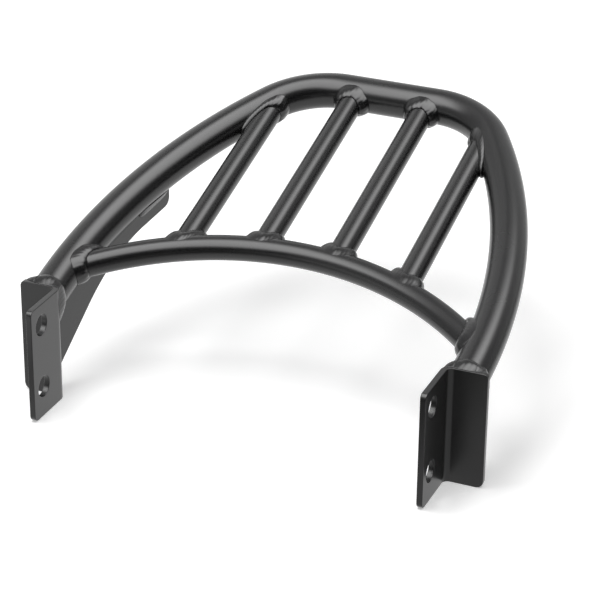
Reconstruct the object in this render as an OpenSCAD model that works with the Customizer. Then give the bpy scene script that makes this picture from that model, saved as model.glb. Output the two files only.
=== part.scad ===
// Motorcycle luggage rack. A tilted tube hoop carries four slats on a bowed cross
// tube, and two gusseted angle brackets bolt it to a pair of fender struts.
// The origin is on the symmetry plane, at the axis of the upper bolt holes.

/* [Hoop] */
// Outside diameter of the hoop tube
hoop_d = 19.05; // [16:0.05:22]
// Wall of the hoop tube
hoop_wall = 1.6; // [1:0.1:3]
// Upward tilt of the rack towards the rear, in degrees
rack_tilt = 16.5; // [8:0.5:22]
// Reach from the brackets to the axis of the rear run, along the tilted plane
hoop_reach = 198; // [185:1:240]
// Straight stretch of the rear run
rear_run = 52; // [30:1:60]
// Bend radius of the two rear corners, on the tube's axis
corner_r = 44; // [36:1:52]
// Distance from the brackets to the hoop's widest place
widest_at = 15; // [0:1:30]
// Tube axis outboard of the bracket's inboard face, at the widest place
leg_offset = 10.5; // [9.6:0.1:12]

/* [Cross tube] */
// Outside diameter of the cross tube
cross_d = 13; // [12.8:0.1:16]
// Wall of the cross tube
cross_wall = 1.5; // [1:0.1:2.5]
// Distance from the brackets to the top of the cross tube's bow
cross_at = 65; // [50:1:80]
// Radius of the bow, on the tube's axis
cross_bow_r = 162; // [140:1:220]

/* [Slats] */
// Outside diameter of the slat tubes
slat_d = 12.7; // [10:0.1:12.7]
// Wall of the slat tubes
slat_wall = 1.5; // [1:0.1:2.5]
// Distance from one slat to the next
slat_pitch = 40; // [32:0.5:42]

/* [Brackets] */
// Clear width between the two brackets, where the struts go
flange_gap = 201; // [180:1:230]
// Plate thickness
plate_t = 3; // [2:0.5:5]
// Inside radius of the bend
bend_r = 3; // [2:0.5:5]
// Height of the bracket
bracket_h = 61; // [58:1:80]
// Length of the flange that lies on the strut, back to the rear face
strut_flange = 33; // [30:1:50]
// Width of the flange that carries the hoop
hoop_flange = 22.5; // [21:0.5:35]
// Diameter of the bolt holes
bolt_hole_d = 11; // [8:0.5:13]
// Distance between the two bolt holes
bolt_pitch = 34; // [25:1:36]
// Bolt hole axis behind the front edge
bolt_setback = 10; // [8:0.5:14]
// Upper bolt hole axis below the top edge
bolt_drop = 11; // [9:0.5:14]
// Hoop axis below the top edge, at the bracket's rear face
hoop_drop = 9; // [8:0.5:14]
// Corner radius at the top of the bracket
top_corner_r = 2.5; // [1:0.5:5]
// Corner radius at the foot of the bracket
foot_corner_r = 3.5; // [1:0.5:6]

/* [Gussets] */
// Gusset plate thickness
gusset_t = 3; // [2:0.5:5]
// Length of the gusset behind the bracket
gusset_reach = 107; // [95:1:125]
// Foot of the gusset above the bottom of the bracket
gusset_foot = 4; // [3:0.5:12]
// Height of the gusset's end below the hoop
gusset_tail = 10; // [8:0.5:14]
// Slope of the lower edge at the tail, in degrees
tail_slope = 10; // [6:0.5:14]
// Distance from the bracket to the knee where the two slopes meet
knee_at = 56; // [48:1:58]
// Hollow radius at the knee
knee_r = 100; // [40:5:110]
// Radius of the tail corner
tail_corner_r = 5; // [2:0.5:6]
// Radius of the relief that lets the hoop's weld pass
relief_r = 6; // [5.5:0.5:8]

/* [Welds] */
// Leg of the weld beads on the tubes
bead_leg = 4.8; // [3:0.1:5.5]
// How far a bead's face stands out from flat
bead_crown = 0.4; // [0.2:0.1:1.5]
// Radius of the bead that wraps the foot of the gusset
foot_bead_r = 4.5; // [3:0.5:5]
// Radius of the stitch that holds the tail of the gusset
stitch_r = 4; // [3:0.5:5]
// Length of that stitch
stitch_l = 22; // [10:1:30]
// Distance from the end of the gusset to the end of the stitch
stitch_inset = 4; // [3:1:10]

/* [Fits] */
// Root gap left where one tube or plate is coped to another
cope_gap = 0.05; // [0.02:0.01:0.2]
// Clearance between a bead and the metal it lies on
bead_gap = 0.1; // [0.08:0.01:0.2]

/* [Hidden] */

$fn = 96;
arc_fn = 360;
paint = "#1c1c1d";
weld_paint = "#29292a";

hoop_r = hoop_d / 2;
cross_r = cross_d / 2;
slat_r = slat_d / 2;

// Heights and depths of the bracket, from the upper bolt hole
plate_x = flange_gap / 2;
front_y = -bolt_setback;
face_y = strut_flange - bolt_setback;
top_z = bolt_drop;
foot_z = top_z - bracket_h;
hoop_z = top_z - hoop_drop;
bend_outer_r = bend_r + plate_t;
bend_x = plate_x + bend_outer_r;
bend_y = face_y - bend_outer_r;

// Hoop centreline in its own plane: side arc, corner arc and rear run, all tangent
widest_x = plate_x + leg_offset;
run_x = rear_run / 2;
corner_y = hoop_reach - corner_r;
corner_lead = sqrt(2 * (corner_r - hoop_r) * cope_gap);
side_w = widest_x - run_x;
side_l = corner_y - widest_at;
side_r = (side_w * side_w + side_l * side_l - corner_r * corner_r) / (2 * (side_w - corner_r));
side_x = widest_x - side_r;
blend_angle = atan2(side_l, run_x - side_x);
leg_x = side_x + sqrt(side_r * side_r - widest_at * widest_at);

// Cross tube centreline in the same plane
bow_y = cross_at - cross_bow_r;

// Gusset, in the upright plane of its own chord
gusset_end_y = gusset_reach / cos(rack_tilt);
gusset_end_x = side_x + sqrt(side_r * side_r - pow(gusset_end_y - widest_at, 2));
gusset_yaw = atan2(leg_x - gusset_end_x, gusset_reach);
gusset_l = gusset_reach / cos(gusset_yaw);
gusset_foot_z = foot_z + gusset_foot;
tube_slope = tan(rack_tilt) * cos(gusset_yaw);
tail_z = hoop_z + gusset_l * tube_slope - hoop_r / cos(rack_tilt) - gusset_tail;
knee_z = tail_z - (gusset_l - knee_at) * tan(tail_slope);
foot_slope = atan2(knee_z - gusset_foot_z, knee_at);

// Resolution of the hoop and the beads, and reach of the cutting solids
tube_sides = 24;
side_steps = 13;
corner_steps = 9;
ring_count = 40;
run_on = 6;
knee_steps = 16;
tail_steps = 8;
crown_steps = [0.25, 0.5, 0.75];
foot_steps = [0.66, 0.33];
root_lift = 0.3;
facet_sag = 0.2;
slope_step = 0.25;
steepest = 0.98;
cut = 400;

function unit(v) = v / norm(v);
function along(p, angle, d) = p + d * [cos(angle), sin(angle)];
function arc_degrees(length, radius) = length / radius * 180 / PI;

// Points on an arc, from one angle to another
function arc_points(centre, radius, from, to, steps) = [
    for (i = [0 : steps]) along(centre, from + (to - from) * i / steps, radius)
];

// Right-hand meeting point of two circles in the rack's plane
function circle_meet(c1, r1, c2, r2) =
    let (
        d = norm(c2 - c1),
        ex = (c2 - c1) / d,
        a = (d * d + r1 * r1 - r2 * r2) / (2 * d),
        h = sqrt(r1 * r1 - a * a),
        foot = c1 + a * ex,
        p = foot + h * [-ex.y, ex.x],
        q = foot - h * [-ex.y, ex.x]
    )
    p.x > q.x ? p : q;

// Hoop centreline moved inwards by an offset: its y at a place across the rack
function hoop_y(x, offset) =
    let (ax = abs(x))
    ax <= run_x ? hoop_reach - offset
    : ax <= run_x + (corner_r - offset) * cos(blend_angle)
        ? corner_y + sqrt(pow(corner_r - offset, 2) - pow(ax - run_x, 2))
    : widest_at + sqrt(pow(side_r - offset, 2) - pow(ax - side_x, 2));

// Cross tube centreline moved rearwards by an offset
function cross_y(x, offset) = bow_y + sqrt(pow(cross_bow_r + offset, 2) - x * x);

// From the rack's tilted plane to the part's own frame
function tilted(p) = [
    p.x,
    face_y + p.y * cos(rack_tilt) - p.z * sin(rack_tilt),
    hoop_z + p.y * sin(rack_tilt) + p.z * cos(rack_tilt)
];

module rack_plane() {
    translate([0, face_y, hoop_z]) rotate([rack_tilt, 0, 0]) children();
}

module arc_rod(centre, bend, from, to, r) {
    translate([centre.x, centre.y, 0])
        rotate(from)
            rotate_extrude(angle = to - from, $fn = arc_fn)
                translate([bend, 0]) circle(r = r);
}

// The hoop's side as a rod that other pieces are coped to. It runs on past the blend.
module side_rod(r) {
    arc_rod([side_x, widest_at], side_r, -asin((widest_at + hoop_d) / side_r), blend_angle + run_on, r);
}

module corner_rod(r) {
    arc_rod([run_x, corner_y], corner_r, blend_angle, 90, r);
}

// Half of the rear run, reaching on outboard past the corner's start
module rear_rod(r) {
    translate([-1, hoop_reach, 0]) rotate([0, 90, 0]) cylinder(r = r, h = run_x + corner_r);
}

// Ring of the hoop's skin at an angle round a bend centre, seen from the right-hand half
function hoop_ring(centre, bend, angle, r) = [
    for (i = [0 : tube_sides - 1])
        let (t = i * 360 / tube_sides, d = bend + r * cos(t))
        [centre.x + d * cos(angle), centre.y + d * sin(angle), r * sin(t)]
];

// The ring where the leg is cut off flush with the bracket's rear face
function cut_ring(r) = [
    for (i = [0 : tube_sides - 1])
        let (
            t = i * 360 / tube_sides,
            d = side_r + r * cos(t),
            y = r * sin(t) * tan(rack_tilt),
            angle = asin((y - widest_at) / d)
        )
        [side_x + d * cos(angle), y, r * sin(t)]
];

function half_hoop(r) =
    let (lead = asin((hoop_r - widest_at) / side_r))
    concat(
        [cut_ring(r)],
        [
            for (i = [0 : side_steps])
                hoop_ring([side_x, widest_at], side_r, lead + i / side_steps * (blend_angle - lead), r)
        ],
        [
            for (i = [1 : corner_steps])
                hoop_ring([run_x, corner_y], corner_r, blend_angle + i / corner_steps * (90 - blend_angle), r)
        ]
    );

function mirrored(ring) = [for (p = ring) [-p.x, p.y, p.z]];

// Skin of the whole hoop as rings, from the right-hand leg round to the left-hand one
function hoop_rings(r) =
    let (half = half_hoop(r))
    concat(half, [for (i = [len(half) - 1 : -1 : 0]) mirrored(half[i])]);

// Joins rings of equal length into a skin, and the last of each ring to its first
function skin_faces(rings, n, first, inside) = [
    for (i = [0 : rings - 2], j = [0 : n - 1])
        let (
            a = first + i * n + j,
            b = first + (i + 1) * n + j,
            c = first + (i + 1) * n + (j + 1) % n,
            d = first + i * n + (j + 1) % n
        )
        each inside ? [[a, b, c], [a, c, d]] : [[a, c, b], [a, d, c]]
];

// Closes a tube's end, between a ring of its outer skin and one of its bore
function end_faces(outer, inner, n, turned) = [
    for (j = [0 : n - 1])
        let (k = (j + 1) % n)
        each turned
            ? [[outer + j, inner + k, inner + j], [outer + j, outer + k, inner + k]]
            : [[outer + j, inner + j, inner + k], [outer + j, inner + k, outer + k]]
];

module cross_rod(r) {
    joint = circle_meet([0, bow_y], cross_bow_r, [side_x, widest_at], side_r);
    angle = atan2(joint.y - bow_y, joint.x);
    arc_rod([0, bow_y], cross_bow_r, angle, 180 - angle, r);
}

// Everything in front of the bracket's rear face
module in_front(gap) {
    translate([-cut, face_y + gap - cut, -cut]) cube([2 * cut, cut, 2 * cut]);
}

module hoop_tube() {
    outer = hoop_rings(hoop_r);
    bore = hoop_rings(hoop_r - hoop_wall);
    rings = len(outer);
    count = rings * tube_sides;
    last = count - tube_sides;
    color(paint) rack_plane() polyhedron(
        points = [for (ring = concat(outer, bore)) each ring],
        faces = concat(
            skin_faces(rings, tube_sides, 0, false),
            skin_faces(rings, tube_sides, count, true),
            end_faces(0, count, tube_sides, false),
            end_faces(last, count + last, tube_sides, true)
        )
    );
}

module cross_tube() {
    color(paint) rack_plane() difference() {
        cross_rod(cross_r);
        cross_rod(cross_r - cross_wall);
        side_rod(hoop_r + cope_gap);
        mirror([1, 0, 0]) side_rod(hoop_r + cope_gap);
    }
}

function slat_x(n) = (n - 2.5) * slat_pitch;

module slat_blank(x) {
    start = cross_y(x, 0);
    l = hoop_y(x, 0) - start;
    translate([x, start, 0]) rotate([-90, 0, 0]) difference() {
        cylinder(r = slat_r, h = l);
        translate([0, 0, -1]) cylinder(r = slat_r - slat_wall, h = l + 2);
    }
}

// Coped to one stretch of the hoop after another, the deepest cuts first. A slat that hardly
// passes the end of the rear run needs no cut from the corner.
module slat(n) {
    r = hoop_r + cope_gap;
    x = abs(slat_x(n));
    color(paint) rack_plane() mirror([slat_x(n) < 0 ? 1 : 0, 0, 0])
        difference() {
            difference() {
                difference() {
                    slat_blank(x);
                    cross_rod(cross_r + cope_gap);
                    side_rod(r);
                }
                rear_rod(r);
            }
            if (x + slat_r > run_x + corner_lead) corner_rod(r);
        }
}

// What rounds an outer corner of a plate, drawn at the corner with the plate below left
module corner_cut(r) {
    translate([-r, -r, -plate_t]) difference() {
        cube([2 * r, 2 * r, 3 * plate_t]);
        translate([0, 0, -1]) cylinder(r = r, h = 3 * plate_t + 2);
    }
}

// Stands a shape drawn in x and y up in the strut flange, or in the hoop flange
module on_strut_flange() {
    translate([plate_x, 0, 0]) rotate([90, 0, 90]) children();
}

module on_hoop_flange() {
    translate([0, face_y, 0]) rotate([90, 0, 0]) children();
}

// The bend and the hoop flange, with all but their inner faces moved out by a gap
module bracket_rear(gap) {
    h = bracket_h + gap;
    translate([bend_x, bend_y, foot_z]) rotate(90)
        rotate_extrude(angle = 90) translate([bend_r, 0]) square([plate_t + gap, h]);
    translate([bend_x, face_y - plate_t, foot_z])
        cube([hoop_flange - bend_outer_r + gap, plate_t + gap, h]);
}

module bracket() {
    color(paint) difference() {
        union() {
            translate([plate_x, front_y, foot_z]) cube([plate_t, bend_y - front_y, bracket_h]);
            bracket_rear(0);
        }
        for (z = [0, -bolt_pitch])
            translate([plate_x - 1, 0, z]) rotate([0, 90, 0])
                cylinder(d = bolt_hole_d, h = plate_t + 2);
        on_strut_flange() translate([front_y, top_z, 0]) mirror([1, 0, 0]) corner_cut(top_corner_r);
        on_strut_flange() translate([front_y, foot_z, 0]) rotate(180) corner_cut(foot_corner_r);
        on_hoop_flange() translate([plate_x + hoop_flange, top_z, 0]) corner_cut(top_corner_r);
        on_hoop_flange() translate([plate_x + hoop_flange, foot_z, 0])
            mirror([0, 1, 0]) corner_cut(foot_corner_r);
    }
}

// Upright plane of the gusset: x runs back along the plate and y runs up
module gusset_plane() {
    translate([leg_x, face_y, 0]) rotate(90 + gusset_yaw) rotate([90, 0, 0]) children();
}

module gusset_blank(t) {
    knee_l = knee_r * tan((foot_slope - tail_slope) / 2);
    knee_centre = along(along([knee_at, knee_z], foot_slope, -knee_l), foot_slope - 90, knee_r);
    tail_l = tail_corner_r * tan((90 - tail_slope) / 2);
    tail_centre = along(along([gusset_l, tail_z], tail_slope, -tail_l), tail_slope + 90, tail_corner_r);
    overlap = plate_t;
    translate([0, 0, -t / 2]) linear_extrude(t) polygon(concat(
        [[-overlap, gusset_foot_z - overlap * tan(foot_slope)]],
        arc_points(knee_centre, knee_r, foot_slope + 90, tail_slope + 90, knee_steps),
        arc_points(tail_centre, tail_corner_r, tail_slope - 90, 0, tail_steps),
        [[gusset_l, hoop_z + gusset_l * tube_slope], [-overlap, hoop_z - overlap * tube_slope]]
    ));
}

// Corner between the hoop's underside and the bracket, seen along the gusset plate
relief_z = hoop_z - hoop_r / cos(rack_tilt);

module gusset() {
    color(paint) difference() {
        gusset_plane() difference() {
            gusset_blank(gusset_t);
            translate([0, relief_z, -gusset_t]) cylinder(r = relief_r, h = 2 * gusset_t);
        }
        rack_plane() side_rod(hoop_r + cope_gap);
        in_front(cope_gap);
    }
}

// A length that grows ever more slowly towards a limit
function eased(length, limit) = limit * (1 - exp(-length / limit));

// A place that may run free for a while and is then held short of an edge
function held(place, free, room) = place < free ? place : free + eased(place - free, room);

// One section of a bead at an angle round the branch. root gives a place on the main
// surface, main turns such a place into a point, and climb runs up the branch from it.
function bead_section(psi, root, main, climb) =
    let (
        place = root(psi),
        dx = [slope_step, 0],
        dq = [0, slope_step],
        run_x_step = (main(place + dx) - main(place - dx)) / (2 * slope_step),
        run_q_step = (main(place + dq) - main(place - dq)) / (2 * slope_step),
        across = cos(psi) / norm(run_x_step),
        around = sin(psi) / norm(run_q_step),
        out = unit(cos(psi) * unit(run_x_step) + sin(psi) * unit(run_q_step)),
        up = unit(climb(psi, 1) - climb(psi, 0)),
        foot = function (k) main(place + k * bead_leg * [across, around]),
        toe_up = climb(psi, bead_leg),
        toe_out = foot(1),
        side = unit(cross(unit(toe_up - toe_out), cross(up, out))),
        proud = side * (up + out) > 0 ? side : -side
    )
    concat(
        [climb(psi, root_lift), toe_up],
        [for (k = crown_steps) toe_up + k * (toe_out - toe_up) + 4 * k * (1 - k) * bead_crown * proud],
        [toe_out],
        [for (k = foot_steps) foot(k)],
        [main(place)]
    );

// Closed bead: the section carried once round the branch
module ring_bead(root, main, climb, turned = false) {
    sections = [
        for (i = [0 : ring_count - 1]) bead_section(i * 360 / ring_count, root, main, climb)
    ];
    n = len(sections[0]);
    loop = [for (section = sections) each section];
    faces = skin_faces(ring_count + 1, n, 0, turned);
    polyhedron(points = loop, faces = [for (f = faces) [for (k = f) k % len(loop)]]);
}

// A slat's bead, on a main tube whose skin is at skin_y(x, offset) in the rack's plane
module slat_bead(n, tube_r, skin_y, heading) {
    x0 = slat_x(n);
    r = slat_r + bead_gap;
    b = tube_r + bead_gap;
    root = function (psi) [x0 + r * cos(psi), asin(r * sin(psi) / b)];
    main = function (place) [place.x, skin_y(place.x, b * cos(place.y)), b * sin(place.y)];
    climb = function (psi, l) main(root(psi)) + [0, heading * l, 0];
    color(weld_paint) rack_plane() ring_bead(root, main, climb, heading < 0);
}

module slat_front_weld(n) {
    slat_bead(n, cross_r, function (x, offset) cross_y(x, offset), 1);
}

module slat_rear_weld(n) {
    slat_bead(n, hoop_r, function (x, offset) hoop_y(x, offset), -1);
}

// How far round the hoop the gusset's inboard side stands, down from the inboard side. It
// leaves room for a bead's facets, which sag between their rings.
function gusset_side_angle(y) =
    let (
        s = y * cos(rack_tilt) / cos(gusset_yaw),
        tube_x = side_x + sqrt(side_r * side_r - pow(y - widest_at, 2)),
        plate_side = leg_x - s * sin(gusset_yaw) - gusset_t / 2 - bead_gap - facet_sag
    )
    acos((tube_x - plate_side) / hoop_r);

// The bead stops short of the gusset, which meets the hoop from below, and is trimmed to
// it where the bow of the hoop's side brings the plate further inboard
module cross_weld() {
    r = cross_r + bead_gap;
    b = hoop_r + bead_gap;
    joint = function (psi) circle_meet(
        [0, bow_y], cross_bow_r + r * cos(psi),
        [side_x, widest_at], side_r - sqrt(b * b - pow(r * sin(psi), 2))
    );
    root = function (psi)
        let (p = joint(psi))
        [atan2(p.y - widest_at, p.x - side_x), asin(r * sin(psi) / b)];
    main = function (place)
        let (
            free = -asin(r / b),
            low = gusset_side_angle(widest_at + side_r * sin(place.x)),
            beta = place.y > free ? place.y : free - eased(free - place.y, low + free),
            d = side_r - b * cos(beta)
        )
        [side_x + d * cos(place.x), widest_at + d * sin(place.x), b * sin(beta)];
    climb = function (psi, l)
        let (
            p = joint(psi),
            d = cross_bow_r + r * cos(psi),
            angle = atan2(p.y - bow_y, p.x) + arc_degrees(l, d)
        )
        [d * cos(angle), bow_y + d * sin(angle), r * sin(psi)];
    color(weld_paint) difference() {
        rack_plane() ring_bead(root, main, climb);
        gusset_plane() gusset_blank(gusset_t + bead_gap);
    }
}

// The bracket's rear surface laid flat: x runs out from the bend, y is the height. The
// bend takes the negative x, and what rises past the top edge folds forward over it.
function rear_skin(place) =
    let (
        tube_edge = leg_x + hoop_r - bend_x,
        outward = held(max(place.x, 0), tube_edge, plate_x + hoop_flange - bend_x - tube_edge),
        inward = held(max(-place.x, 0), bend_outer_r, bend_outer_r * (PI / 2 - 1)),
        turn = arc_degrees(inward, bend_outer_r),
        r = bend_outer_r + bead_gap / 2,
        over = max(place.y - top_z, 0)
    )
    [
        bend_x + outward - r * sin(turn),
        bend_y + r * cos(turn) - eased(over, plate_t),
        place.y - over + bead_gap / 2
    ];

// The bead round the end of the hoop, trimmed to the bend and the top edge it laps over
module hoop_weld() {
    r = hoop_r + bead_gap;
    climb = function (psi, l)
        let (
            d = side_r + r * cos(psi),
            angle = asin((r * sin(psi) * tan(rack_tilt) - widest_at) / d) + arc_degrees(l, d)
        )
        tilted([side_x + d * cos(angle), widest_at + d * sin(angle), r * sin(psi)]);
    root = function (psi)
        let (
            p = climb(psi, 0),
            x = p.x - bend_x,
            turn = asin(min(-x / bend_outer_r, steepest))
        )
        [x > 0 ? x : -turn * PI / 180 * bend_outer_r, p.z];
    color(weld_paint) difference() {
        ring_bead(root, function (place) rear_skin(place), climb);
        bracket_rear(bead_gap);
    }
}

// A rod with round ends from one point to another
module round_rod(p, q, r) {
    d = q - p;
    translate(p) rotate([0, acos(d.z / norm(d)), atan2(d.y, d.x)]) {
        cylinder(r = r, h = norm(d));
        sphere(r = r);
        translate([0, 0, norm(d)]) sphere(r = r);
    }
}

// Seam between the gusset's inboard side and the hoop, at a distance behind the bracket
function seam(s) =
    let (
        y = s * cos(gusset_yaw) / cos(rack_tilt),
        tube_x = side_x + sqrt(side_r * side_r - pow(y - widest_at, 2)),
        plate_side = leg_x - s * sin(gusset_yaw) - gusset_t / 2,
        drop = sqrt(hoop_r * hoop_r - pow(tube_x - plate_side, 2))
    )
    [plate_side, face_y + s * cos(gusset_yaw), hoop_z + s * tube_slope - drop / cos(rack_tilt)];

module gusset_weld() {
    end = gusset_l - stitch_inset;
    color(weld_paint) difference() {
        round_rod(seam(end - stitch_l), seam(end), stitch_r);
        rack_plane() side_rod(hoop_r + bead_gap);
        gusset_plane() translate([-cut, -cut, -gusset_t / 2 - bead_gap]) cube([2 * cut, 2 * cut, cut]);
    }
}

module gusset_foot_weld() {
    low = gusset_foot_z + foot_bead_r / 4;
    high = relief_z - relief_r - foot_bead_r / 4;
    color(weld_paint) difference() {
        translate([leg_x, face_y, low]) {
            cylinder(r = foot_bead_r, h = high - low);
            sphere(r = foot_bead_r);
        }
        gusset_plane() gusset_blank(gusset_t + 2 * bead_gap);
        in_front(bead_gap);
    }
}

hoop_tube();
cross_tube();
slat(1);  // slat_1
slat(2);  // slat_2
slat(3);  // slat_3
slat(4);  // slat_4
mirror([1, 0, 0]) bracket();  // bracket_left
bracket();  // bracket_right
mirror([1, 0, 0]) gusset();  // gusset_left
gusset();  // gusset_right
slat_front_weld(1);  // slat_1_front_weld
slat_front_weld(2);  // slat_2_front_weld
slat_front_weld(3);  // slat_3_front_weld
slat_front_weld(4);  // slat_4_front_weld
slat_rear_weld(1);  // slat_1_rear_weld
slat_rear_weld(2);  // slat_2_rear_weld
slat_rear_weld(3);  // slat_3_rear_weld
slat_rear_weld(4);  // slat_4_rear_weld
mirror([1, 0, 0]) cross_weld();  // cross_weld_left
cross_weld();  // cross_weld_right
mirror([1, 0, 0]) hoop_weld();  // hoop_weld_left
hoop_weld();  // hoop_weld_right
mirror([1, 0, 0]) gusset_weld();  // gusset_weld_left
gusset_weld();  // gusset_weld_right
mirror([1, 0, 0]) gusset_foot_weld();  // gusset_foot_weld_left
gusset_foot_weld();  // gusset_foot_weld_right
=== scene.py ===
# %% [markdown]
# # A motorcycle luggage rack
#
# The object is a small welded rack that bolts behind a motorcycle's seat. A bent steel tube,
# the hoop, leans up towards the rear. A thinner bowed tube crosses it near the front, and
# four short tubes, the slats, run from the one to the other. Two bent plates bolt to the
# fender struts, and a triangular gusset under each leg takes the load. Every joint is
# welded, and the whole is powder coated satin black.
#
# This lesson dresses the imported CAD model. The frame gives the place of every piece, and
# each piece is made again here as a smooth surface worked out with numpy: tubes are circles
# carried along arcs, plates are flat patterns that are folded, and welds are small sections
# carried round a joint.

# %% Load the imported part
import bpy
import numpy as np
from mathutils import Matrix, Vector
from numpy import arcsin, arctan2, array, concatenate, cos, linspace, maximum, minimum
from numpy import pi, radians, sin, sqrt, stack, tan, where


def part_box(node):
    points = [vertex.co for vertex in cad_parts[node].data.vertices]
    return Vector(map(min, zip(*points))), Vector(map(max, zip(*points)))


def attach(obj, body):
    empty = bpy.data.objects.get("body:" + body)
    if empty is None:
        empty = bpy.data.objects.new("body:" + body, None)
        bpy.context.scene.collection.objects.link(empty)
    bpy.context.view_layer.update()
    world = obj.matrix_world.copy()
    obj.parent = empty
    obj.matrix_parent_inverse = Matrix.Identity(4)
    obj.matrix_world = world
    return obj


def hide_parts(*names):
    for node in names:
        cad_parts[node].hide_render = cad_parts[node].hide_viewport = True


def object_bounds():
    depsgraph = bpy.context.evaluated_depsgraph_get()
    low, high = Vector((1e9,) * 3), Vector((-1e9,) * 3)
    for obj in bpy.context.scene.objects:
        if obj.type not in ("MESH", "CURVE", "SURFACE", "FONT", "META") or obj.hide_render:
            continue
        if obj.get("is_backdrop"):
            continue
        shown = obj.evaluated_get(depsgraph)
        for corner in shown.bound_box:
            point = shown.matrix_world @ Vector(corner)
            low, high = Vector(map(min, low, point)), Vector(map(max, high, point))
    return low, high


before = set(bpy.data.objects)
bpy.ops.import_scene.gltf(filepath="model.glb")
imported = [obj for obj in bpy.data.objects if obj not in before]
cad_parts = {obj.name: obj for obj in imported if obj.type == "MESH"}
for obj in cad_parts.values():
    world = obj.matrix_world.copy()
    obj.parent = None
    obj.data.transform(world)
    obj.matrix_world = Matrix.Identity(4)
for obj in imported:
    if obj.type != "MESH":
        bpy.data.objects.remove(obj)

MM = 0.001
cad_box = [[float(c) for c in corner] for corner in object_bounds()]
print("CAD box in mm:", np.round(array(cad_box) / MM, 1).tolist())

# %% [markdown]
# ## Sizes
#
# The driving sizes are those of the real part, in metres. Heights and depths of the plates
# are read from the frame, so that they can't drift from the CAD. The hoop's centreline is
# flat in a plane that leans up by the rack's tilt: a long side arc, a tight corner arc and a
# straight rear run, each one tangent to the next.

# %% Driving sizes
HOOP_R = 9.525 * MM
HOOP_WALL = 1.6 * MM
CROSS_R = 6.5 * MM
CROSS_WALL = 1.5 * MM
SLAT_R = 6.35 * MM
SLAT_WALL = 1.5 * MM
SLAT_COUNT = 4
SLAT_PITCH = 40 * MM
TILT = radians(16.5)
HOOP_REACH = 198 * MM
REAR_RUN = 52 * MM
CORNER_R = 44 * MM
WIDEST_AT = 15 * MM
LEG_OFFSET = 10.5 * MM
CROSS_AT = 65 * MM
CROSS_BOW_R = 162 * MM
PLATE_T = 3 * MM
BEND_R = 3 * MM
HOLE_R = 5.5 * MM
HOLE_PITCH = 34 * MM
HOOP_DROP = 9 * MM
TOP_CORNER_R = 2.5 * MM
FOOT_CORNER_R = 3.5 * MM

bracket_low, bracket_high = (array(corner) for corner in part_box("bracket_right"))
plate_x, front_y, foot_z = bracket_low
outer_x, face_y, top_z = bracket_high
hoop_z = top_z - HOOP_DROP
bend_outer_r = BEND_R + PLATE_T
bend_x = plate_x + bend_outer_r
bend_y = face_y - bend_outer_r
print("bracket in mm:", np.round(bracket_low / MM, 2), np.round(bracket_high / MM, 2))

# %% The hoop's centreline
widest_x = plate_x + LEG_OFFSET
run_x = REAR_RUN / 2
corner_y = HOOP_REACH - CORNER_R
side_w = widest_x - run_x
side_l = corner_y - WIDEST_AT
side_r = (side_w ** 2 + side_l ** 2 - CORNER_R ** 2) / (2 * (side_w - CORNER_R))
side_x = widest_x - side_r
side_centre = (side_x, WIDEST_AT)
blend_angle = arctan2(side_l, run_x - side_x)
bow_y = CROSS_AT - CROSS_BOW_R


def side_at(y):
    """Place across of the side arc at a depth."""
    return side_x + sqrt(side_r ** 2 - (y - WIDEST_AT) ** 2)


leg_x = side_at(0)
print("side arc in mm:", round(side_r / MM, 2), "blend angle:", round(np.degrees(blend_angle), 2))

# %% [markdown]
# ## Helpers
#
# All shapes are arrays of points with x, y and z in the last axis. A grid of points becomes
# quads that join each point to its neighbours. A closed shell whose volume comes out
# negative is inside out, and its faces are turned.

# %% Points and faces
def unit(v):
    """Each vector divided by its own length."""
    return v / np.linalg.norm(v, axis=-1, keepdims=True)


def xyz(x, y, z):
    """Three arrays, stretched to one shape, as one array of points."""
    return stack(np.broadcast_arrays(x, y, z), axis=-1).astype(float)


def tilted(points):
    """From the rack's leaning plane to the part's frame: a turn by the tilt about the X axis,
    then a move to where the hoop's axis leaves the bracket's rear face."""
    x, y, z = np.moveaxis(points, -1, 0)
    return xyz(
        x,
        face_y + y * cos(TILT) - z * sin(TILT),
        hoop_z + y * sin(TILT) + z * cos(TILT),
    )


def quads(rows, cols, wrap_rows=False, wrap_cols=False):
    """Quads of a grid: point (i, j) with (i, j + 1), (i + 1, j + 1) and (i + 1, j)."""
    i, j = np.meshgrid(
        np.arange(rows if wrap_rows else rows - 1),
        np.arange(cols if wrap_cols else cols - 1),
        indexing="ij",
    )
    below, right = (i + 1) % rows, (j + 1) % cols
    corners = [i * cols + j, i * cols + right, below * cols + right, below * cols + j]
    return stack(corners, axis=-1).reshape(-1, 4)


def volume(points, faces):
    """Six times the volume inside the faces: the sum of a . (b x c) over the triangles."""
    a, b, c, d = (points[faces[:, k]] for k in range(4))
    return np.sum(a * np.cross(b, c)) + np.sum(a * np.cross(c, d))


def merged(points, faces, step=1e-8):
    """Points that lie within a step of each other become one."""
    _, first, index = np.unique(
        np.round(points / step).astype(np.int64), axis=0, return_index=True, return_inverse=True
    )
    return points[first], index.reshape(-1)[faces]


# %% Making a piece
scene = bpy.context.scene
collection = scene.collection
face_counts = []


def put_piece(node, points, faces, material, slot):
    """One object at the origin that rides on the rack's body and stands for a CAD node."""
    name = "coated_" + node
    points = points.reshape(-1, 3)
    if volume(points, faces) < 0:
        faces = faces[:, ::-1]
    mesh = bpy.data.meshes.new(name)
    mesh.from_pydata(points.tolist(), [], faces.tolist())
    mesh.polygons.foreach_set("use_smooth", np.ones(len(faces), dtype=bool))
    mesh.materials.append(material)
    mesh.update()
    piece = bpy.data.objects.new(name, mesh)
    collection.objects.link(piece)
    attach(piece, "root")
    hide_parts(node)
    face_counts.append(len(faces))
    return piece


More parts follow.
